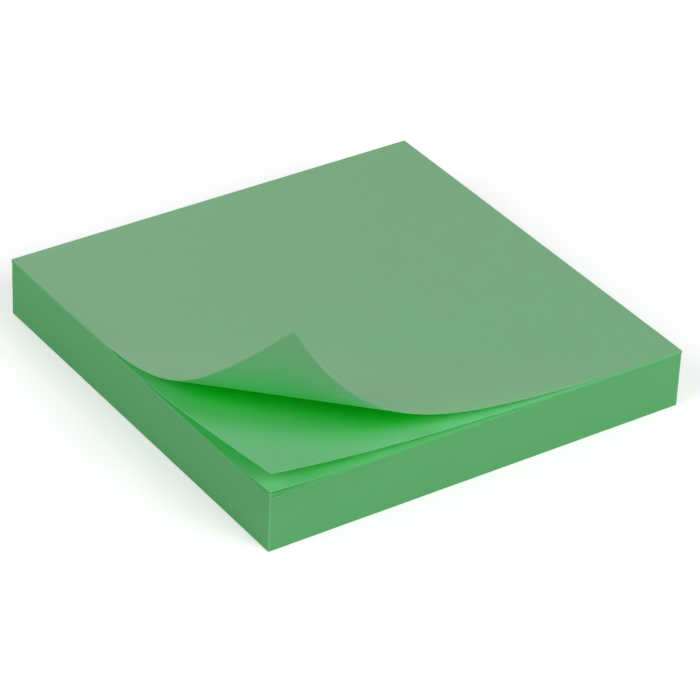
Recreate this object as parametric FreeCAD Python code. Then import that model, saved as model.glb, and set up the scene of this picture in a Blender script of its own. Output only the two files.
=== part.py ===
import FreeCAD, Part
import math
import os

# A pad of square sticky notes. The five uppermost notes are loose at the front corner.
# X runs along the front right side, Y along the front left side, Z is up. The origin is the
# bottom centre. The glued edge of the pad is its back left side, at the largest Y.

# The pad
PAD_SIDE = 75.0
SHEET_COUNT = 100
SHEET_THICKNESS = 0.08

# The strip of adhesive under each note
ADHESIVE_THICKNESS = 0.02
ADHESIVE_WIDTH = 20.0
ADHESIVE_INSET = 1.0

# A lifted corner is a bend without stretch. Its straight bend lines fan out from one point.
# The first bend line crosses both free sides of the note, and the fan point lies on it,
# this far outside the left side.
FAN_REACH = 54.5

# The peeled top note. It stays flat for these lengths from the left and the right corner.
# Radii and lengths of a bend are measured along the path that ends at the front corner.
TOP_FLAT_LEFT = 25.0
TOP_FLAT_RIGHT = 3.5
TOP_GENTLE_RADIUS = 70.0
TOP_GENTLE_LENGTH = 11.4
TOP_TIGHTENING_LENGTH = 18.4
TOP_CURL_RADIUS = 14.5

# The second note
SECOND_FLAT_LEFT = 32.0
SECOND_FLAT_RIGHT = 7.5
SECOND_RADIUS = 180.0

# The third note is bent this far back from the front corner. Each note below it is bent
# over a shorter length and more gently.
THIRD_REACH_LEFT = 17.0
THIRD_REACH_RIGHT = 21.0
THIRD_RADIUS = 118.0
REACH_STEP = 0.82
RADIUS_STEP = 1.5

# Number of bend lines that carry the shape of a lifted corner
BEND_LINES = 49

LOOSE_NOTES = ("fifth", "fourth", "third", "second", "top")
PITCH = SHEET_THICKNESS + ADHESIVE_THICKNESS
HALF = PAD_SIDE / 2.0
BLOCK_SHEETS = SHEET_COUNT - len(LOOSE_NOTES)
BLOCK_HEIGHT = BLOCK_SHEETS * PITCH - ADHESIVE_THICKNESS


class Bend:
    """Where a note is bent, measured from its front corner, and how tightly."""

    def __init__(self, reach_left, reach_right, radius):
        self.reach_left = reach_left
        self.reach_right = reach_right
        self.radius = radius

    def curvature(self, distance):
        """Curvature at a distance from the first bend line."""
        return 1.0 / self.radius


class Curl(Bend):
    """A bend that starts gently and tightens into a curl of a smaller radius."""

    def __init__(self, reach_left, reach_right, radius, gentle_length, tightening_length, curl_radius):
        super().__init__(reach_left, reach_right, radius)
        self.gentle_length = gentle_length
        self.tightening_length = tightening_length
        self.curl_radius = curl_radius

    def curvature(self, distance):
        """Curvature at a distance from the first bend line, with an even change between radii."""
        step = min(max((distance - self.gentle_length) / self.tightening_length, 0.0), 1.0)
        ease = step * step * (3.0 - 2.0 * step)
        return (1.0 - ease) / self.radius + ease / self.curl_radius


def loose_bends():
    """The bend of each loose note, from the lowest to the top one."""
    third = Bend(THIRD_REACH_LEFT, THIRD_REACH_RIGHT, THIRD_RADIUS)
    lower = [third]
    for _ in ("fourth", "fifth"):
        above = lower[-1]
        lower.append(Bend(above.reach_left * REACH_STEP, above.reach_right * REACH_STEP,
                          above.radius * RADIUS_STEP))
    second = Bend(PAD_SIDE - SECOND_FLAT_LEFT, PAD_SIDE - SECOND_FLAT_RIGHT, SECOND_RADIUS)
    top = Curl(PAD_SIDE - TOP_FLAT_LEFT, PAD_SIDE - TOP_FLAT_RIGHT, TOP_GENTLE_RADIUS,
               TOP_GENTLE_LENGTH, TOP_TIGHTENING_LENGTH, TOP_CURL_RADIUS)
    return dict(zip(LOOSE_NOTES, reversed([top, second] + lower)))


def bent_edges(bend, z):
    """Both free edges of the bent corner, as points on the upper and the lower face.

    Each bend line stays straight. It keeps its angle and its lengths from the fan point,
    so the corner keeps the size it has in the flat sheet.
    """
    corner = FreeCAD.Vector(-HALF, -HALF, z)
    on_left = corner + FreeCAD.Vector(0, bend.reach_left, 0)
    on_right = corner + FreeCAD.Vector(bend.reach_right, 0, 0)
    outward = (on_left - on_right).normalize()
    fan = on_left + outward * FAN_REACH
    span = corner - fan
    first = outward * -1.0
    across = first.cross(FreeCAD.Vector(0, 0, 1))
    fan_angle = math.atan2(span.dot(across), span.dot(first))
    steps = BEND_LINES - 1
    turn = fan_angle / steps
    along = FreeCAD.Vector(first)
    up = FreeCAD.Vector(0, 0, 1)
    edges = {"left_up": [], "left_down": [], "right_up": [], "right_down": []}
    for index in range(BEND_LINES):
        angle = turn * index
        flat = first * math.cos(angle) + across * math.sin(angle)
        reach = {"left": (corner.x - fan.x) / flat.x, "right": (corner.y - fan.y) / flat.y}
        for side, length in reach.items():
            middle = fan + along * length
            edges[side + "_up"].append(middle + up * (SHEET_THICKNESS / 2.0))
            edges[side + "_down"].append(middle - up * (SHEET_THICKNESS / 2.0))
        travelled = (index + 0.5) * turn * span.Length
        axis = up + along * (bend.curvature(travelled) * span.Length)
        spin = FreeCAD.Rotation(axis, -math.degrees(turn * axis.Length))
        along = spin.multVec(along)
        up = spin.multVec(up)
    return edges


def smooth_edge(points):
    """A smooth curve through points at even steps of the fan angle."""
    curve = Part.BSplineCurve()
    steps = len(points) - 1
    curve.interpolate(Points=points, Parameters=[index / steps for index in range(len(points))])
    return curve.toShape()


def plane_face(corners):
    """A flat face through its corner points."""
    return Part.Face(Part.makePolygon(corners + corners[:1]))


def lifted_note(bend, bottom):
    """One note: flat at the back, with its front corner bent up."""
    top = bottom + SHEET_THICKNESS
    edges = bent_edges(bend, (bottom + top) / 2.0)
    curves = {name: smooth_edge(points) for name, points in edges.items()}
    faces = [
        Part.makeRuledSurface(curves["left_up"], curves["right_up"]),
        Part.makeRuledSurface(curves["left_down"], curves["right_down"]),
        Part.makeRuledSurface(curves["left_up"], curves["left_down"]),
        Part.makeRuledSurface(curves["right_up"], curves["right_down"]),
    ]
    rest = [(HALF, -HALF), (HALF, HALF), (-HALF, HALF)]
    upper = [edges["left_up"][0], edges["right_up"][0]]
    upper += [FreeCAD.Vector(x, y, top) for x, y in rest]
    lower = [edges["left_down"][0], edges["right_down"][0]]
    lower += [FreeCAD.Vector(x, y, bottom) for x, y in rest]
    faces += [plane_face(upper), plane_face(lower)]
    for index in range(1, len(upper)):
        after = (index + 1) % len(upper)
        faces.append(plane_face([upper[index], upper[after], lower[after], lower[index]]))
    shell = Part.makeShell(faces)
    shell.sewShape()
    return Part.makeSolid(shell)


def sheet_block():
    """The sheets that lie flat, as one solid."""
    return Part.makeBox(PAD_SIDE, PAD_SIDE, BLOCK_HEIGHT, FreeCAD.Vector(-HALF, -HALF, 0))


def adhesive_strip(bottom):
    """The strip that holds the back edge of a note to the sheet below it."""
    length = PAD_SIDE - 2.0 * ADHESIVE_INSET
    corner = FreeCAD.Vector(-length / 2.0, HALF - ADHESIVE_INSET - ADHESIVE_WIDTH, bottom)
    return Part.makeBox(length, ADHESIVE_WIDTH, ADHESIVE_THICKNESS, corner)


def pad_parts():
    """Every solid of the pad by its name."""
    parts = {"sheet_block": sheet_block()}
    level = BLOCK_HEIGHT
    for name, bend in loose_bends().items():
        parts[name + "_note_adhesive"] = adhesive_strip(level)
        parts[name + "_note"] = lifted_note(bend, level + ADHESIVE_THICKNESS)
        level += PITCH
    return parts


os.makedirs("parts", exist_ok=True)
for part_name, shape in pad_parts().items():
    shape.exportStep("parts/" + part_name + ".step")
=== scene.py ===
"""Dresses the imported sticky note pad.

A block of flat sheets, five loose notes with a lifted front corner, and the strips of adhesive under
them, in a white studio.
"""

import logging
import math
from dataclasses import dataclass
from enum import Enum
from itertools import accumulate

import bmesh
import bpy
import numpy as np
from mathutils import Matrix, Vector


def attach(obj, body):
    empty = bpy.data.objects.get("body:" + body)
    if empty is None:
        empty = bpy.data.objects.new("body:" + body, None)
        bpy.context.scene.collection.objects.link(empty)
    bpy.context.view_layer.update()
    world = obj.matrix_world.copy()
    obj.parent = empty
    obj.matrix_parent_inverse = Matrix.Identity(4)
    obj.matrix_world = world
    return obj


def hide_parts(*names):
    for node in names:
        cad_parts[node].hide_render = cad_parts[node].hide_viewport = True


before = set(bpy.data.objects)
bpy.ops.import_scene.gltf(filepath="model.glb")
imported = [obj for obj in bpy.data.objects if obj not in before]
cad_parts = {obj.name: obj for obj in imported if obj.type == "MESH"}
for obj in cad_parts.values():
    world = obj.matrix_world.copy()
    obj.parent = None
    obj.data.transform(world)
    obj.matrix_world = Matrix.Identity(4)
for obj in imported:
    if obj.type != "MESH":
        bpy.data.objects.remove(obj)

MM = 0.001
WELD = 0.0001 * MM
PLACE = "sheet_place"
LOG = logging.getLogger("sticky_note_pad")

Colour = tuple[float, float, float]
Value = float | Colour | bpy.types.NodeSocket

WHITE: Colour = (1.0, 1.0, 1.0)


class Side(Enum):
    """The four upright sides of the pad, by the outward direction of each."""

    FRONT_RIGHT = (0.0, -1.0)
    BACK_RIGHT = (1.0, 0.0)
    BACK_LEFT = (0.0, 1.0)
    FRONT_LEFT = (-1.0, 0.0)


class Term:
    """A number socket that takes part in Python sums, each of which adds its Math node."""

    def __init__(self, shader: "Shader", socket: bpy.types.NodeSocket) -> None:
        """Wraps a socket of a shader's node tree."""
        self.shader = shader
        self.socket = socket

    def _math(self, operation: str, first: "float | Term", second: "float | Term" = 0.0) -> "Term":
        """Adds one Math node.

        Args:
            operation: The Math node's operation.
            first: The node's first value.
            second: The node's second value.

        Returns:
            The node's result as a new term.
        """
        made = self.shader.node("ShaderNodeMath", {"operation": operation}, {0: first, 1: second})
        return Term(self.shader, made.outputs[0])

    def __add__(self, other: "float | Term") -> "Term":
        """The sum of two terms."""
        return self._math("ADD", self, other)

    __radd__ = __add__

    def __sub__(self, other: "float | Term") -> "Term":
        """This term less another."""
        return self._math("SUBTRACT", self, other)

    def __rsub__(self, other: "float | Term") -> "Term":
        """Another value less this term."""
        return self._math("SUBTRACT", other, self)

    def __mul__(self, other: "float | Term") -> "Term":
        """The product of two terms."""
        return self._math("MULTIPLY", self, other)

    __rmul__ = __mul__

    def __truediv__(self, other: "float | Term") -> "Term":
        """This term divided by another."""
        return self._math("DIVIDE", self, other)

    def absolute(self) -> "Term":
        """The size of the term without its sign."""
        return self._math("ABSOLUTE", self)

    def floor(self) -> "Term":
        """The largest whole number that is no larger than the term."""
        return self._math("FLOOR", self)

    def ramp(self, low: float, high: float) -> "Term":
        """A smooth step that is 0 at low and 1 at high.

        Args:
            low: The value at which the step begins.
            high: The value at which the step ends; lower than low for a falling step.

        Returns:
            The step as a new term.
        """
        made = self.shader.node(
            "ShaderNodeMapRange",
            {"interpolation_type": "SMOOTHSTEP"},
            {"Value": self, "From Min": low, "From Max": high, "To Min": 0.0, "To Max": 1.0},
        )
        return Term(self.shader, made.outputs["Result"])


class Shader:
    """A material under construction, with one method that makes any node."""

    def __init__(self, name: str) -> None:
        """Starts an empty material of the given name."""
        self.material = bpy.data.materials.new(name)
        self.material.use_nodes = True
        self.tree = self.material.node_tree
        self.tree.nodes.clear()

    def node(self, kind: str, settings: dict | None = None, inputs: dict | None = None) -> bpy.types.Node:
        """Makes a node, applies its settings and then fills its sockets.

        Args:
            kind: The node's type name.
            settings: Attributes of the node, set before any socket.
            inputs: Values or links by socket name or number.

        Returns:
            The finished node.
        """
        made = self.tree.nodes.new(kind)
        for key, value in (settings or {}).items():
            setattr(made, key, value)
        for key, value in (inputs or {}).items():
            self.feed(made.inputs[key], value)
        return made

    def feed(self, target: bpy.types.NodeSocket, value: "Value | Term") -> None:
        """Links a socket or a term to a socket, or stores a plain value in it.

        Args:
            target: The input socket to fill.
            value: A term, a socket, a number or a colour.
        """
        source = value.socket if isinstance(value, Term) else value
        if isinstance(source, bpy.types.NodeSocket):
            self.tree.links.new(source, target)
        elif isinstance(source, tuple) and len(source) == 3 and target.type == "RGBA":
            target.default_value = (*source, 1.0)
        else:
            target.default_value = source

    def position(self) -> bpy.types.NodeSocket:
        """The point on the surface in the object's own coordinates, in metres."""
        return self.node("ShaderNodeTexCoord").outputs["Object"]

    def attribute(self, name: str) -> bpy.types.NodeSocket:
        """A vector that the mesh stores at each point."""
        return self.node("ShaderNodeAttribute", {"attribute_name": name}).outputs["Vector"]

    def axes(self, point: bpy.types.NodeSocket) -> tuple[Term, Term, Term]:
        """The three coordinates of a point as terms."""
        split = self.node("ShaderNodeSeparateXYZ", None, {"Vector": point})
        return tuple(Term(self, split.outputs[name]) for name in "XYZ")

    def stretched(self, point: bpy.types.NodeSocket, scale: Colour) -> bpy.types.NodeSocket:
        """The point with each coordinate multiplied by its own scale."""
        return self.node("ShaderNodeMapping", None, {"Vector": point, "Scale": scale}).outputs["Vector"]

    def noise(
        self, point: bpy.types.NodeSocket, size: float, detail: float = 2.0, roughness: float = 0.5
    ) -> Term:
        """Soft random blotches about the middle value 0.

        Args:
            point: The coordinates that the pattern reads.
            size: The width of a blotch, in the coordinates' own unit.
            detail: How many finer layers are added.
            roughness: How strong the finer layers are.

        Returns:
            The pattern, from about -0.5 to 0.5.
        """
        made = self.node(
            "ShaderNodeTexNoise",
            {"noise_dimensions": "3D"},
            {"Vector": point, "Scale": 1.0 / size, "Detail": detail, "Roughness": roughness},
        )
        return Term(self, made.outputs["Fac"]) - 0.5

    def mix(self, share: "float | Term", first: "Value", second: "Value") -> bpy.types.NodeSocket:
        """A blend of two colours.

        Args:
            share: How much of the second colour shows, from 0 to 1.
            first: The colour at share 0.
            second: The colour at share 1.

        Returns:
            The blended colour's socket.
        """
        made = self.node("ShaderNodeMix", {"data_type": "RGBA"}, {0: share, 6: first, 7: second})
        return made.outputs[2]

    def toned(self, colour: "Value", tone: Term) -> bpy.types.NodeSocket:
        """The colour made lighter or darker by a factor near 1."""
        grey = self.node("ShaderNodeCombineXYZ", None, {"X": tone, "Y": tone, "Z": tone}).outputs[0]
        return self.node("ShaderNodeVectorMath", {"operation": "MULTIPLY"}, {0: colour, 1: grey}).outputs[0]

    def surface(self, socket: bpy.types.NodeSocket) -> bpy.types.Material:
        """Shows a shader on the surface and returns the finished material."""
        self.node("ShaderNodeOutputMaterial", None, {"Surface": socket})
        return self.material


@dataclass(frozen=True)
class CornerPaintedLight:
    """Painted light and shade at a note's front corner: a colour blended in towards the corner."""

    colour: Colour
    near: float = 9.0 * MM
    far: float = 23.5 * MM

    def share(self, along: Term, up: Term) -> Term:
        """How much of the painted light shows: a smooth step along the sheet's diagonal."""
        return ((along + up) / math.sqrt(2.0)).ramp(self.far, self.near)


@dataclass(frozen=True)
class SidePaintedLight:
    """Painted light and shade along one of the two front sides: a strip of its own tone."""

    colour: Colour
    width: float
    side: Side = Side.FRONT_RIGHT

    def share(self, along: Term, up: Term) -> Term:
        """How much of the painted light shows: a smooth step away from the side."""
        return (up if self.side is Side.FRONT_RIGHT else along).ramp(self.width, 0.0)


@dataclass(frozen=True)
class MarginPaintedLight:
    """A painted highlight along the front-right side: a paler strip that ends away from the corner."""

    colour: Colour
    width: float
    near: float
    far: float

    def share(self, along: Term, up: Term) -> Term:
        """How much of the painted highlight shows: the step away from the side times the step along the
        diagonal.
        """
        strip = SidePaintedLight(self.colour, self.width).share(along, up)
        return strip * CornerPaintedLight(self.colour, self.near, self.far).share(along, up)


@dataclass(frozen=True)
class PaperFinish:
    """Uncoated coloured note paper: fibres, a cloudy tone, and painted light and shade blended into the
    colour.
    """

    name: str
    colour: Colour
    painted_lights: tuple[CornerPaintedLight | SidePaintedLight | MarginPaintedLight, ...] = ()
    specular: float = 1.0
    roughness: float = 0.62
    ior: float = 1.75
    cloud_size: float = 2.6 * MM
    cloud_detail: float = 3.0
    cloud_roughness: float = 0.55
    cloud_tone: float = 0.05
    fibre_size: float = 0.22 * MM
    fibre_stretch: Colour = (0.35, 1.0, 1.0)
    cross_fibre_size: float = 0.176 * MM
    cross_fibre_stretch: Colour = (1.0, 0.45, 1.0)
    fibre_tone: float = 0.06
    fibre_gloss: float = 0.12
    fibre_height: float = 0.006 * MM
    glow: float = 0.3
    glow_colour: Colour = (0.004, 1.0, 0.04)

    def material(self) -> bpy.types.Material:
        """Builds the paper.

        The pattern follows the flat sheet, so it bends with it. Each painted light turns the colour to its
        own by its share, clouds and fibres change the tone, and light passes through.

        Returns:
            The finished material.
        """
        shader = Shader(self.name)
        place = shader.attribute(PLACE)
        along, up, _ = shader.axes(place)
        tint = self.colour
        # blend in each painted highlight and painted shade
        for painted in self.painted_lights:
            tint = shader.mix(painted.share(along, up), tint, painted.colour)
        clouds = shader.noise(place, self.cloud_size, self.cloud_detail, self.cloud_roughness)
        long_fibres = shader.noise(shader.stretched(place, self.fibre_stretch), self.fibre_size)
        cross_fibres = shader.noise(shader.stretched(place, self.cross_fibre_stretch), self.cross_fibre_size)
        fibres = long_fibres + cross_fibres
        tone = 1.0 + clouds * self.cloud_tone + fibres * self.fibre_tone
        relief = {"Strength": 1.0, "Distance": self.fibre_height, "Height": fibres + clouds}
        bump = shader.node("ShaderNodeBump", None, relief)
        paper = shader.node(
            "ShaderNodeBsdfPrincipled",
            None,
            {
                "Base Color": shader.toned(tint, tone),
                "Roughness": self.roughness + fibres * self.fibre_gloss,
                "Specular IOR Level": self.specular,
                "IOR": self.ior,
                "Normal": bump.outputs[0],
            },
        )
        through = shader.node("ShaderNodeBsdfTranslucent", None, {"Color": self.glow_colour})
        faces = {0: self.glow, 1: paper.outputs[0], 2: through.outputs[0]}
        return shader.surface(shader.node("ShaderNodeMixShader", None, faces).outputs[0])


@dataclass(frozen=True)
class CutEdgeFinish:
    """The cut edge of a single sheet, rougher than its faces."""

    name: str
    colour: Colour
    roughness: float = 0.75
    specular: float = 1.0
    grain_size: float = 0.09 * MM
    grain_tone: float = 0.15
    grain_gloss: float = 0.1
    grain_height: float = 0.003 * MM

    def material(self) -> bpy.types.Material:
        """Builds the edge: short torn fibres as light and dark grains along the cut."""
        shader = Shader(self.name)
        grain = shader.noise(shader.attribute(PLACE), self.grain_size)
        relief = {"Strength": 1.0, "Distance": self.grain_height, "Height": grain}
        bump = shader.node("ShaderNodeBump", None, relief)
        cut = shader.node(
            "ShaderNodeBsdfPrincipled",
            None,
            {
                "Base Color": shader.toned(self.colour, 1.0 + grain * self.grain_tone),
                "Roughness": self.roughness + grain * self.grain_gloss,
                "Specular IOR Level": self.specular,
                "Normal": bump.outputs[0],
            },
        )
        return shader.surface(cut.outputs[0])


@dataclass(frozen=True)
class StackFinish:
    """The cut sides of stacked paper: one tone for each sheet, streaks along the cut, and pale upright
    corners, partly frayed fibres and partly a painted highlight.
    """

    name: str
    colour: Colour
    pale: Colour
    pitch: float
    half: float
    roughness: float = 0.7
    specular: float = 1.0
    sheen: float = 0.1
    sheen_roughness: float = 0.6
    sheet_tone: float = 0.05
    streak_size: float = 0.16 * MM
    streak_stretch: Colour = (0.04, 0.04, 1.0)
    streak_tone: float = 0.09
    streak_gloss: float = 0.15
    cloud_size: float = 3.2 * MM
    cloud_tone: float = 0.06
    layer_detail: float = 3.0
    layer_roughness: float = 0.6
    grain_size: float = 0.12 * MM
    grain_tone: float = 0.08
    grain_relief: float = 0.6
    relief: float = 0.012 * MM
    corner_start: float = 0.45 * MM
    corner_end: float = 0.12 * MM
    corner_share: float = 0.6

    def material(self) -> bpy.types.Material:
        """Builds the stack: the height tells the sheet, and each sheet has a random tone."""
        shader = Shader(self.name)
        point = shader.position()
        x, y, z = shader.axes(point)
        sheet = (z / self.pitch).floor()
        picked = shader.node("ShaderNodeTexWhiteNoise", {"noise_dimensions": "1D"}, {"W": sheet})
        own = Term(shader, picked.outputs["Value"]) - 0.5
        layers = (self.layer_detail, self.layer_roughness)
        streaks = shader.noise(shader.stretched(point, self.streak_stretch), self.streak_size, *layers)
        clouds = shader.noise(point, self.cloud_size, *layers)
        grain = shader.noise(point, self.grain_size)
        tone = 1.0 + own * self.sheet_tone + streaks * self.streak_tone
        tone = tone + clouds * self.cloud_tone + grain * self.grain_tone
        side = 2.0 * self.half
        # pale band along each upright corner: partly frayed fibres, partly a painted highlight of a rounded
        # corner
        corner = (x.absolute() + y.absolute()).ramp(side - self.corner_start, side - self.corner_end)
        relief = {"Strength": 1.0, "Distance": self.relief, "Height": streaks + grain * self.grain_relief}
        bump = shader.node("ShaderNodeBump", None, relief)
        colour = shader.mix(corner * self.corner_share, self.colour, self.pale)
        cut = shader.node(
            "ShaderNodeBsdfPrincipled",
            None,
            {
                "Base Color": shader.toned(colour, tone),
                "Roughness": self.roughness + streaks * self.streak_gloss,
                "Specular IOR Level": self.specular,
                "Sheen Weight": self.sheen,
                "Sheen Roughness": self.sheen_roughness,
                "Normal": bump.outputs[0],
            },
        )
        return shader.surface(cut.outputs[0])


@dataclass(frozen=True)
class AdhesiveFinish:
    """A tacky film of tiny clear beads on the paper."""

    name: str
    colour: Colour
    bead: float = 0.09 * MM
    bead_height: float = 0.01 * MM
    relief: float = 0.6
    ground_tone: float = 0.9
    bead_tone: float = 0.15
    roughness: float = 0.42
    bead_gloss: float = 0.12

    def material(self) -> bpy.types.Material:
        """Builds the film: rounded beads from a cell pattern, glossy on a pale ground."""
        shader = Shader(self.name)
        pattern = {"Vector": shader.position(), "Scale": 1.0 / self.bead}
        cells = shader.node("ShaderNodeTexVoronoi", None, pattern)
        dome = 1.0 - Term(shader, cells.outputs["Distance"])
        relief = {"Strength": self.relief, "Distance": self.bead_height, "Height": dome}
        bump = shader.node("ShaderNodeBump", None, relief)
        film = shader.node(
            "ShaderNodeBsdfPrincipled",
            None,
            {
                "Base Color": shader.toned(self.colour, self.ground_tone + dome * self.bead_tone),
                "Roughness": self.roughness - dome * self.bead_gloss,
                "Normal": bump.outputs[0],
            },
        )
        return shader.surface(film.outputs[0])


@dataclass(frozen=True)
class FloorFinish:
    """A white table that shows pure white to the camera where nothing shades it."""

    name: str
    colour: Colour = (0.86, 0.86, 0.86)
    lift: float = 0.40

    def material(self) -> bpy.types.Material:
        """Builds the floor: a matt white that gives the camera a little light of its own."""
        shader = Shader(self.name)
        matt = shader.node("ShaderNodeBsdfDiffuse", None, {"Color": self.colour})
        seen = Term(shader, shader.node("ShaderNodeLightPath").outputs["Is Camera Ray"])
        own = shader.node("ShaderNodeEmission", None, {"Color": WHITE, "Strength": seen * self.lift})
        both = shader.node("ShaderNodeAddShader", None, {0: matt.outputs[0], 1: own.outputs[0]})
        return shader.surface(both.outputs[0])


def grid_faces(rows: int, columns: int, start: int = 0) -> np.ndarray:
    """Quads over a grid of points stored row by row.

    A quad joins point (i, j) to its neighbours (i, j+1), (i+1, j+1) and (i+1, j).

    Args:
        rows: The number of rows of points.
        columns: The number of points in a row.
        start: The number of the grid's first point.

    Returns:
        One row of four point numbers for each quad.
    """
    i, j = np.meshgrid(np.arange(rows - 1), np.arange(columns - 1), indexing="ij")
    first = (start + i * columns + j).ravel()
    return np.stack([first, first + 1, first + columns + 1, first + columns], axis=1)


def welded_piece(
    name: str,
    grids: list[np.ndarray],
    slots: list[int],
    materials: list[bpy.types.Material],
    crease: float,
    places: list[np.ndarray] | None = None,
) -> bpy.types.Object:
    """Makes one closed piece from several grids of points, welded where they meet.

    Args:
        name: The piece's name.
        grids: Arrays of rows by columns by 3, whose faces point outwards.
        slots: The material number of each grid.
        materials: The piece's materials.
        crease: The angle in degrees past which an edge stays sharp.
        places: The flat place of each grid's points on their sheet, or None.

    Returns:
        The new object, at the origin.
    """
    sizes = [grid.shape[0] * grid.shape[1] for grid in grids]
    starts = np.concatenate([[0], np.cumsum(sizes)[:-1]])
    points = np.concatenate([grid.reshape(-1, 3) for grid in grids])
    quads = [grid_faces(*grid.shape[:2], start) for grid, start in zip(grids, starts)]
    mesh = bpy.data.meshes.new(name)
    mesh.from_pydata(points.tolist(), [], np.concatenate(quads).tolist())
    numbers = np.repeat(np.array(slots, np.int32), [len(part) for part in quads])
    mesh.polygons.foreach_set("material_index", numbers)
    for material in materials:
        mesh.materials.append(material)
    if places:
        stored = mesh.attributes.new(PLACE, "FLOAT_VECTOR", "POINT")
        stored.data.foreach_set("vector", np.concatenate([place.ravel() for place in places]))
    work = bmesh.new()
    work.from_mesh(mesh)
    bmesh.ops.remove_doubles(work, verts=work.verts, dist=WELD)
    work.to_mesh(mesh)
    work.free()
    mesh.polygons.foreach_set("use_smooth", np.ones(len(mesh.polygons), bool))
    mesh.set_sharp_from_angle(angle=math.radians(crease))
    piece = bpy.data.objects.new(name, mesh)
    bpy.context.scene.collection.objects.link(piece)
    return piece


@dataclass(frozen=True)
class Bend:
    """Where a note is bent, measured from its front corner, and how tightly."""

    reach_left: float
    reach_right: float
    radius: float

    def curvature(self, distance: np.ndarray) -> np.ndarray:
        """Curvature at distances from the first bend line: the same everywhere."""
        return np.full_like(distance, 1.0 / self.radius)


@dataclass(frozen=True)
class Curl(Bend):
    """A bend that starts gently and tightens into a curl of a smaller radius."""

    gentle_length: float
    tightening_length: float
    curl_radius: float

    def curvature(self, distance: np.ndarray) -> np.ndarray:
        """Curvature at distances from the first bend line: a smooth step between both radii."""
        step = np.clip((distance - self.gentle_length) / self.tightening_length, 0.0, 1.0)
        ease = step * step * (3.0 - 2.0 * step)
        return (1.0 - ease) / self.radius + ease / self.curl_radius


@dataclass(frozen=True)
class Nick:
    """A small bite out of a note's left edge."""

    place: float
    depth: float = 0.30 * MM
    along: tuple[float, ...] = (-0.55 * MM, -0.45 * MM, 0.0, 0.45 * MM, 0.65 * MM)
    shares: tuple[float, ...] = (0.0, 1.0, 0.8, 0.3, 0.0)

    def depths(self, y: np.ndarray) -> np.ndarray:
        """How far the edge is set back at each place: straight runs between the profile's points."""
        return self.depth * np.interp(y, self.place + np.array(self.along), self.shares)


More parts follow.
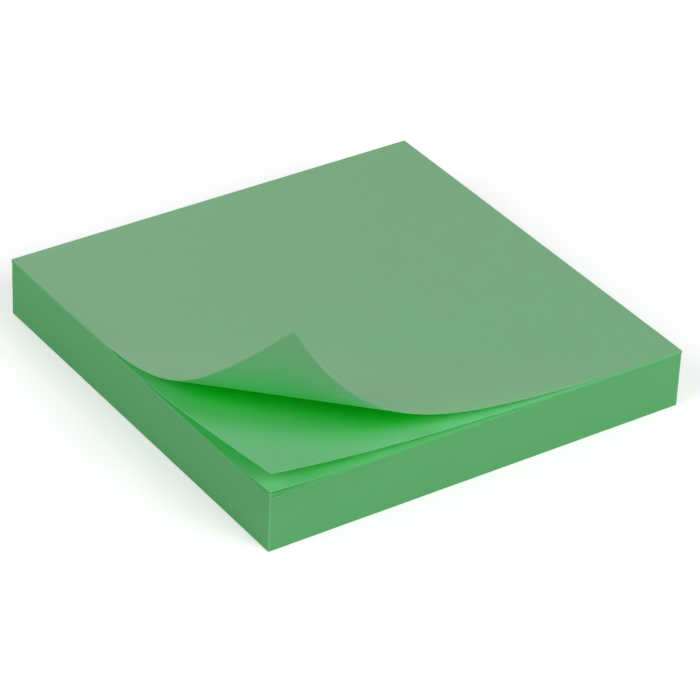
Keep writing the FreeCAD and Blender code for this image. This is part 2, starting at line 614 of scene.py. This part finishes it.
@dataclass
class LooseNote:
    """One loose note: a square sheet, glued at the back, with its front corner bent up."""

    name: str
    bend: Bend
    bottom: float
    half: float
    thickness: float
    nick: Nick | None = None
    fan_reach: float = 54.5 * MM
    bend_rows: int = 96
    flat_rows: int = 24
    columns: int = 96
    crease: float = 40.0

    def bent_rows(self) -> tuple[np.ndarray, np.ndarray, np.ndarray]:
        """The bent corner, without stretch.

        The bend lines fan out from one point. Each point keeps its distance from the fan point and the
        angle of its bend line, while the frame that carries the bend line turns about its own axis
        (0, curvature, 1), once for each step of the fan angle.

        Returns:
            Points, upward normals and flat places, one row for each bend line, from left to right.
        """
        corner = np.array([-self.half, -self.half])
        on_left = corner + (0.0, self.bend.reach_left)
        on_right = corner + (self.bend.reach_right, 0.0)
        first = (on_right - on_left) / np.linalg.norm(on_right - on_left)
        fan = on_left - first * self.fan_reach
        across = np.array([first[1], -first[0]])
        span = corner - fan
        radius = np.linalg.norm(span)
        turn = math.atan2(span @ across, span @ first) / self.bend_rows
        steps = np.arange(self.bend_rows)
        curve = self.bend.curvature((steps + 0.5) * turn * radius) * radius
        size = np.sqrt(1.0 + curve**2)
        axis = np.stack([np.zeros_like(curve), curve / size, 1.0 / size], axis=1)
        cross = np.zeros((self.bend_rows, 3, 3))
        cross[:, 0, 1], cross[:, 0, 2], cross[:, 1, 2] = -axis[:, 2], axis[:, 1], -axis[:, 0]
        cross -= cross.transpose(0, 2, 1)
        angle = (-turn * size)[:, None, None]
        spins = np.eye(3) + np.sin(angle) * cross + (1.0 - np.cos(angle)) * (cross @ cross)
        start = np.eye(3)
        start[:2, 0], start[:2, 1] = across, first
        frames = np.array(list(accumulate([start, *spins], np.matmul)))
        angles = np.arange(self.bend_rows + 1)[:, None] * turn
        flat = np.cos(angles) * first + np.sin(angles) * across
        reach = (corner - fan) / flat
        share = np.linspace(0.0, 1.0, self.columns + 1)
        length = reach[:, :1] * (1.0 - share) + reach[:, 1:] * share
        origin = np.array([*fan, self.bottom + self.thickness / 2.0])
        points = origin + length[..., None] * frames[:, None, :, 1]
        normals = np.broadcast_to(frames[:, None, :, 2], points.shape)
        places = np.zeros_like(points)
        places[..., :2] = fan + self.half + length[..., None] * flat[:, None, :]
        return points, normals, places

    def sheet(self) -> tuple[np.ndarray, np.ndarray, np.ndarray]:
        """The middle of the sheet, from the back corner to the lifted one.

        The flat part is an even blend from the two back sides to the first bend line, with rows of its
        own at the points of a nick.

        Returns:
            Points, upward normals and flat places on one grid.
        """
        bent, up, bent_places = self.bent_rows()
        share = np.linspace(-1.0, 1.0, self.columns + 1)
        x = np.where(share < 0.0, self.half * (2.0 * share + 1.0), self.half)
        y = np.where(share > 0.0, self.half * (1.0 - 2.0 * share), self.half)
        back = np.stack([x, y, np.full_like(x, bent[0, 0, 2])], axis=1)
        blend = np.linspace(0.0, 1.0, self.flat_rows + 1)[:-1]
        if self.nick:
            places = self.nick.place + np.array(self.nick.along)
            blend = np.union1d(blend, (self.half - places) / (self.half - bent[0, 0, 1]))
        flat = back * (1.0 - blend[:, None, None]) + bent[0] * blend[:, None, None]
        if self.nick:
            flat[:, 0, 0] += self.nick.depths(flat[:, 0, 1])
        upright = np.broadcast_to((0.0, 0.0, 1.0), flat.shape)
        places = (flat + self.half) * (1.0, 1.0, 0.0)
        parts = ((flat, bent), (upright, up), (places, bent_places))
        return tuple(np.concatenate(pair) for pair in parts)

    def build(self, papers: list[bpy.types.Material]) -> bpy.types.Object:
        """Makes the note as a closed sheet with its real thickness.

        The upper and lower faces are the middle of the sheet moved by half the thickness along its
        normal, and the cut edge joins them all round.

        Args:
            papers: The materials of the upper face, the lower face and the cut edge.

        Returns:
            The finished piece.
        """
        middle, up, place = self.sheet()
        upper = middle + up * (self.thickness / 2.0)
        lower = middle - up * (self.thickness / 2.0)
        left = np.stack([upper[:, 0], lower[:, 0]], axis=1)
        right = np.stack([lower[:, -1], upper[:, -1]], axis=1)
        back = np.stack([lower[0], upper[0]], axis=1)
        rims = [np.stack([line, line], axis=1) for line in (place[:, 0], place[:, -1], place[0])]
        grids = [upper[::-1], lower, left, right, back]
        flats = [place[::-1], place, *rims]
        return welded_piece(self.name, grids, [0, 1, 2, 2, 2], papers, self.crease, flats)


@dataclass
class AdhesiveStrip:
    """The coated band under the back of a note: a thin film with slightly uneven long edges."""

    name: str
    top: float
    half: float
    glue: float
    width: float = 20.0 * MM
    margin: float = 1.0 * MM
    clearance: float = 0.002 * MM
    unevenness: float = 0.06 * MM
    waves: tuple[tuple[float, float, float], ...] = ((0.6, 2.3 * MM, 0.0), (0.4, 0.9 * MM, 1.0))
    lines: int = 120
    rows: int = 8
    crease: float = 40.0

    def build(self, film: bpy.types.Material) -> bpy.types.Object:
        """Makes the film between two sheets, just clear of both.

        Across the band the points are spread evenly between two long edges, and each edge wanders
        inwards by a sum of sine waves, each with its share, length and start.

        Args:
            film: The material of the adhesive.

        Returns:
            The finished piece.
        """
        x = np.linspace(self.margin - self.half, self.half - self.margin, self.lines + 1)
        wave = sum(share * np.sin(x / length + start) for share, length, start in self.waves)
        wander = self.unevenness * (1.0 + wave) / 2.0
        back = self.half - self.margin - wander
        front = self.half - self.margin - self.width + wander[::-1]
        share = np.linspace(0.0, 1.0, self.rows + 1)[:, None]
        y = front * (1.0 - share) + back * share
        high, low = self.top - self.clearance, self.top - self.glue + self.clearance
        across = np.broadcast_to(x, y.shape)
        upper = np.stack([across, y, np.full_like(y, high)], axis=2)
        lower = np.stack([across, y, np.full_like(y, low)], axis=2)
        rims = [
            np.stack([lower[0], upper[0]]),
            np.stack([upper[-1], lower[-1]]),
            np.stack([lower[::-1, 0], upper[::-1, 0]]),
            np.stack([lower[:, -1], upper[:, -1]]),
        ]
        return welded_piece(self.name, [upper, lower[::-1], *rims], [0] * 6, [film], self.crease)


@dataclass
class SheetBlock:
    """The sheets that lie flat, each a little out of line with the next."""

    sheets: int
    half: float
    thickness: float
    pitch: float
    side_points: int = 36
    inset: float = 0.05 * MM
    wander: float = 0.035 * MM
    groove: float = 0.012 * MM
    open_groove: float = 0.16 * MM
    open_sheets: float = 10.0
    open_length: float = 16.0 * MM
    bundle: int = 4
    drift: float = 0.5
    jitter: float = 0.6
    wave_rates: tuple[int, ...] = (3, 7, 13)
    crease: float = 30.0
    seed: int = 7

    def outline(self) -> tuple[np.ndarray, np.ndarray]:
        """The square outline, and the outward direction at each of its points.

        Returns:
            Points and directions, once round, with the first point repeated at the end.
        """
        share = np.linspace(-1.0, 1.0, self.side_points + 1)[:-1]
        points, outward = [], []
        for side in Side:
            normal = np.array(side.value)
            along = np.array([-normal[1], normal[0]])
            points.append(normal + share[:, None] * along)
            lean = np.broadcast_to(normal, (self.side_points, 2)).copy()
            lean[0] = normal - along
            outward.append(lean)
        ring, lean = np.concatenate(points), np.concatenate(outward)
        return np.vstack([ring, ring[:1]]) * self.half, np.vstack([lean, lean[:1]])

    def build(self, sides: bpy.types.Material) -> bpy.types.Object:
        """Makes the block's sides, top and bottom.

        Each sheet gives four levels: its lower and upper edge, with a groove above and below. A level is
        the square outline moved in or out by the sheet's own shift, by a slow wave along the side, and
        by the groove. Where one bundle of sheets ends, the groove is deeper towards the front corner at
        the top of the block.

        Args:
            sides: The material of the whole block.

        Returns:
            The finished piece.
        """
        draw = np.random.default_rng(self.seed)
        ring, lean = self.outline()
        pairs = (self.sheets, 2)
        number = np.arange(self.sheets)
        low = number * self.pitch
        high = low + self.thickness
        levels = np.stack([low, low, high, high], axis=1).ravel()
        owner = np.repeat(number, 4)
        walk = np.cumsum(draw.normal(0.0, 1.0, pairs), axis=0)
        walk -= np.linspace(0.0, 1.0, self.sheets)[:, None] * walk[-1]
        shift = walk / np.abs(walk).max() * self.drift + draw.uniform(-0.5, 0.5, pairs) * self.jitter
        turn = np.linspace(0.0, 2.0 * math.pi, len(ring))
        count = len(self.wave_rates)
        phase = draw.uniform(0.0, 2.0 * math.pi, (self.sheets, count))
        waves = [np.sin(turn * rate + phase[:, rate % count, None]) for rate in self.wave_rates]
        wave = sum(waves) / (2.0 * count)
        wave[:, -1] = wave[:, 0]
        from_corner = np.linalg.norm(ring + self.half, axis=1)
        above = self.sheets - 1 - number
        opened = np.exp(-from_corner / self.open_length) * np.exp(-above[:, None] / self.open_sheets)
        ends = (above + draw.integers(0, 2, self.sheets)) % self.bundle == self.bundle - 1
        depth = self.groove + self.open_groove * opened * ends[:, None]
        grooved = np.tile([1.0, 0.0, 0.0, 1.0], self.sheets)[:, None] * depth[owner]
        moved = (wave[owner] * 0.5 * self.wander - self.inset - grooved)[..., None] * lean
        place = ring + moved + (shift[owner] * self.wander * 0.5)[:, None, :]
        place[0] += grooved[0, :, None] * lean
        place[-1] += grooved[-1, :, None] * lean
        heights = np.broadcast_to(levels[:, None, None], (*place.shape[:2], 1))
        wall = np.concatenate([place, heights], axis=2)
        middle = np.zeros_like(wall[:1])
        under = np.concatenate([middle, wall[:1]])
        over = np.concatenate([wall[-1:], middle + (0.0, 0.0, levels[-1])])
        return welded_piece("paper_block", [under, wall, over], [0, 0, 0], [sides], self.crease)


class NotePapers:
    """The papers and cut edges of the loose notes, with painted light and shade in their colours: deep green
    where they lie covered, paler where light falls.
    """

    def __init__(self) -> None:
        """Builds each material once, by the note that it is for; other notes take the covered paper."""
        gap_faces_painted_light, second_upper_painted_light = self.gap_faces_painted_light().material(), self.second_upper_painted_light().material()
        self.covered = self.covered_painted_light().material()
        self.upper = {"top": self.top_face().material(), "second": second_upper_painted_light, "third": gap_faces_painted_light}
        self.lower = {"top": self.underside().material(), "second": gap_faces_painted_light}
        self.edge = CutEdgeFinish("cut_edge", (0.085, 0.45, 0.135)).material()
        # The top and second notes' cut edges are paler copies of the cut edge: a painted highlight.
        self.edges = {
            "top": CutEdgeFinish("top_cut_edge", (0.135, 0.49, 0.19)).material(),
            "second": CutEdgeFinish("second_cut_edge", (0.19, 0.57, 0.26)).material(),
        }

    def of(self, name: str) -> list[bpy.types.Material]:
        """The materials of a note's upper face, lower face and cut edge."""
        upper, lower = self.upper.get(name, self.covered), self.lower.get(name, self.covered)
        return [upper, lower, self.edges.get(name, self.edge)]

    @staticmethod
    def top_face() -> PaperFinish:
        """The top note's upper face: paler than the covered paper by a painted sheen, and a little darker at
        its curled corner as painted shade.
        """
        # painted shade at the curled corner
        corner = CornerPaintedLight((0.163, 0.425, 0.207))
        return PaperFinish("top_note_upper", (0.175, 0.451, 0.225), (corner,))

    @staticmethod
    def underside() -> PaperFinish:
        """The top note's lower face: bright deep green as painted bounce light in the fold, with painted
        highlights in the middle and at the right side, and painted shade at the left side and the tip.

        Returns:
            The finish.
        """
        # painted light: these tones stand in for light and shade in the fold
        middle = CornerPaintedLight((0.12, 1.0, 0.265), 14.5 * MM, 18.5 * MM)
        right = SidePaintedLight((0.32, 1.0, 0.49), 7.0 * MM)
        left = SidePaintedLight((0.085, 0.78, 0.20), 6.0 * MM, Side.FRONT_LEFT)
        corner = CornerPaintedLight((0.122, 0.39, 0.178), 1.0 * MM, 22.0 * MM)
        return PaperFinish("top_note_lower", (0.055, 1.0, 0.155), (middle, right, left, corner))

    @staticmethod
    def second_upper_painted_light() -> PaperFinish:
        """The second note's upper face: deep green as painted shade under the top note, with painted
        highlights at its corner and margins.

        Returns:
            The finish.
        """
        # painted highlights at the sides, middle, margin and corner over a painted-shade base
        right = SidePaintedLight((0.36, 0.90, 0.53), 6.5 * MM)
        left = SidePaintedLight((0.185, 0.77, 0.32), 6.5 * MM, Side.FRONT_LEFT)
        middle = CornerPaintedLight((0.14, 0.67, 0.215), 16.5 * MM, 24.5 * MM)
        margin = MarginPaintedLight((0.30, 0.68, 0.45), 6.5 * MM, 17.0 * MM, 24.0 * MM)
        corner = CornerPaintedLight((0.315, 0.69, 0.43), 9.0 * MM, 19.0 * MM)
        painted_lights = (right, left, middle, margin, corner)
        return PaperFinish("second_note_upper", (0.010, 0.94, 0.058), painted_lights, specular=0.4)

    @staticmethod
    def gap_faces_painted_light() -> PaperFinish:
        """The faces that meet between the second and the third note: deep green as painted shade, with
        painted highlights near their front edges.

        Returns:
            The finish.
        """
        # painted highlights near the front edges over a painted-shade base
        right = SidePaintedLight((0.27, 0.95, 0.41), 5.5 * MM)
        left = SidePaintedLight((0.125, 0.85, 0.26), 5.0 * MM, Side.FRONT_LEFT)
        corner = CornerPaintedLight((0.25, 0.80, 0.37), 2.0 * MM, 12.0 * MM)
        return PaperFinish("lower_note_upper", (0.015, 1.0, 0.055), (right, left, corner), specular=0.6)

    @staticmethod
    def covered_painted_light() -> PaperFinish:
        """The covered faces further down: dark green as painted shade in the gaps between notes, with pale
        rims along both front sides as painted highlights.
        """
        # painted shade in the gaps, painted highlights on the rims
        sides = (Side.FRONT_RIGHT, Side.FRONT_LEFT)
        rims = tuple(SidePaintedLight((0.26, 0.85, 0.38), 0.6 * MM, side) for side in sides)
        return PaperFinish("covered_note", (0.02, 0.55, 0.07), rims)


@dataclass
class StickyNotePad:
    """The whole pad, with the sizes that the model was built to."""

    side: float = 75.0 * MM
    sheets: int = 100
    thickness: float = 0.08 * MM
    glue: float = 0.02 * MM
    nick_place: float = 14.2 * MM
    shorter: float = 0.82
    flatter: float = 1.5

    def bends(self) -> dict[str, Bend]:
        """The bends of the loose notes.

        Returns:
            The bend of each note by its name, from the lowest to the top one.
        """
        third = Bend(17.0 * MM, 21.0 * MM, 118.0 * MM)
        fourth = self.weaker(third)
        second = Bend(self.side - 32.0 * MM, self.side - 7.5 * MM, 180.0 * MM)
        top = Curl(
            reach_left=self.side - 25.0 * MM,
            reach_right=self.side - 3.5 * MM,
            radius=70.0 * MM,
            gentle_length=11.4 * MM,
            tightening_length=18.4 * MM,
            curl_radius=14.5 * MM,
        )
        return {"fifth": self.weaker(fourth), "fourth": fourth, "third": third, "second": second, "top": top}

    def weaker(self, bend: Bend) -> Bend:
        """The bend of the note below: shorter, and flatter by a fixed step."""
        left, right = bend.reach_left * self.shorter, bend.reach_right * self.shorter
        return Bend(left, right, bend.radius * self.flatter)

    def build(self) -> None:
        """Builds and dresses every piece, each on the pad's one body."""
        half, pitch = self.side / 2.0, self.thickness + self.glue
        bends = self.bends()
        flat_sheets = self.sheets - len(bends)
        sides = StackFinish("stacked_paper", (0.068, 0.415, 0.114), (0.17, 0.54, 0.22), pitch, half)
        block = SheetBlock(flat_sheets, half, self.thickness, pitch).build(sides.material())
        self.settle(block, "block_paper", "sheet_block")
        papers = NotePapers()
        film = AdhesiveFinish("adhesive_film", (0.095, 0.57, 0.155)).material()
        for level, (name, bend) in enumerate(bends.items(), flat_sheets):
            bottom = level * pitch
            nick = Nick(self.nick_place) if name == "top" else None
            note = LooseNote(f"{name}_sheet", bend, bottom, half, self.thickness, nick)
            self.settle(note.build(papers.of(name)), "note_paper", f"{name}_note")
            strip = AdhesiveStrip(f"{name}_adhesive_film", bottom, half, self.glue)
            self.settle(strip.build(film), "adhesive", f"{name}_note_adhesive")

    @staticmethod
    def settle(piece: bpy.types.Object, slot: str, node: str) -> None:
        """Puts a piece on the body in place of its node.

        Args:
            piece: The dressed piece.
            slot: The material slot that the record names; not used.
            node: The node of the model that the piece replaces.
        """
        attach(piece, "root")
        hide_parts(node)
        LOG.info("built %s with %d faces", piece.name, len(piece.data.polygons))


@dataclass
class SoftBox:
    """A large soft lamp that faces the pad."""

    name: str
    azimuth: float
    elevation: float
    power: float
    diffuse: bool = True
    distance: float = 1.2
    size: float = 0.8

    def build(self) -> None:
        """Places the lamp by its direction from the pad and turns it to the pad."""
        lamp = bpy.data.lights.new(self.name, "AREA")
        lamp.shape = "DISK"
        lamp.size = self.size
        lamp.energy = self.power
        box = bpy.data.objects.new(self.name, lamp)
        bpy.context.scene.collection.objects.link(box)
        back = direction(self.azimuth, self.elevation)
        box.location = back * self.distance
        box.rotation_euler = back.to_track_quat("Z", "Y").to_euler()
        box.visible_camera = False
        box.visible_diffuse = self.diffuse


def direction(azimuth: float, elevation: float) -> Vector:
    """The unit direction from the pad towards a viewer.

    Args:
        azimuth: Degrees round the pad; 0 is in front, towards -Y, and 90 is towards +X.
        elevation: Degrees above the table.

    Returns:
        The direction.
    """
    a, e = math.radians(azimuth), math.radians(elevation)
    return Vector((math.sin(a) * math.cos(e), -math.cos(a) * math.cos(e), math.sin(e)))


@dataclass
class Studio:
    """A white table in plain soft light."""

    table_radius: float = 0.85
    table_corners: int = 96
    table_drop: float = 0.02 * MM
    daylight: float = 0.16
    lamps: tuple[SoftBox, ...] = (
        SoftBox("left_box", -90.0, 35.0, 6.5),
        SoftBox("key_box", 20.0, 35.0, 8.5),
        SoftBox("low_box", 20.0, 15.0, 0.9),
        SoftBox("back_right_box", 120.0, 10.0, 2.4),
        SoftBox("back_left_box", 160.0, 10.0, 2.4),
        SoftBox("right_glare", 115.0, 30.0, 2.0, False),
        SoftBox("back_glare", 175.0, 30.0, 5.1, False),
        SoftBox("left_glare", -140.0, 12.0, 2.0, False),
    )

    def build(self) -> None:
        """Lays the table, lights the lamps and sets the surroundings."""
        self.lay_table()
        for lamp in self.lamps:
            lamp.build()
        self.surround()

    def lay_table(self) -> None:
        """Makes the round table, just under the pad."""
        mesh = bpy.data.meshes.new("table_top")
        turn = np.linspace(0.0, 2.0 * math.pi, self.table_corners, endpoint=False)
        rim = np.stack([np.cos(turn), np.sin(turn), np.zeros_like(turn)], axis=1) * self.table_radius
        rim[:, 2] = -self.table_drop
        mesh.from_pydata(rim.tolist(), [], [tuple(range(self.table_corners))])
        mesh.materials.append(FloorFinish("white_table").material())
        table = bpy.data.objects.new("table_top", mesh)
        bpy.context.scene.collection.objects.link(table)

    def surround(self) -> None:
        """Makes the surroundings pure white to the camera, and dim daylight to the pad."""
        world = bpy.data.worlds.new("white_room")
        bpy.context.scene.world = world
        world.use_nodes = True
        tree = world.node_tree
        tree.nodes.clear()
        path = tree.nodes.new("ShaderNodeLightPath")
        strength = tree.nodes.new("ShaderNodeMapRange")
        strength.inputs["To Min"].default_value = self.daylight
        strength.inputs["To Max"].default_value = 1.0
        sky = tree.nodes.new("ShaderNodeBackground")
        sky.inputs["Color"].default_value = (*WHITE, 1.0)
        out = tree.nodes.new("ShaderNodeOutputWorld")
        tree.links.new(path.outputs["Is Camera Ray"], strength.inputs["Value"])
        tree.links.new(strength.outputs["Result"], sky.inputs["Strength"])
        tree.links.new(sky.outputs[0], out.inputs["Surface"])


@dataclass
class PhotoCamera:
    """The camera, where the photograph was taken from."""

    azimuth: float = -35.191
    elevation: float = 32.865
    roll: float = 2.503
    distance: float = 567.61 * MM
    aim: tuple[float, float, float] = (-1.799 * MM, -5.128 * MM, 5.0 * MM)
    sensor: float = 36.0
    focal_pixels: float = 3672.5
    frame_pixels: float = 700.0
    nearest: float = 0.01
    farthest: float = 20.0

    def build(self) -> None:
        """Places the camera from its direction, roll and distance."""
        data = bpy.data.cameras.new("photo_camera")
        data.sensor_width = self.sensor
        data.lens = self.focal_pixels * self.sensor / self.frame_pixels
        data.clip_start, data.clip_end = self.nearest, self.farthest
        camera = bpy.data.objects.new("photo_camera", data)
        bpy.context.scene.collection.objects.link(camera)
        back = direction(self.azimuth, self.elevation)
        right = Vector((0.0, 0.0, 1.0)).cross(back).normalized()
        up = back.cross(right)
        r = math.radians(self.roll)
        tilted_right = right * math.cos(r) + up * math.sin(r)
        tilted_up = up * math.cos(r) - right * math.sin(r)
        turn = Matrix((tilted_right, tilted_up, back)).transposed()
        camera.matrix_world = Matrix.Translation(Vector(self.aim) + back * self.distance) @ turn.to_4x4()
        bpy.context.scene.camera = camera


def main() -> None:
    """Builds the pad, the studio and the camera, and reports each piece."""
    logging.basicConfig(level=logging.INFO, format="%(message)s")
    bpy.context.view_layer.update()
    bpy.context.scene.view_settings.view_transform = "Standard"
    StickyNotePad().build()
    Studio().build()
    PhotoCamera().build()


if __name__ == "__main__":
    main()
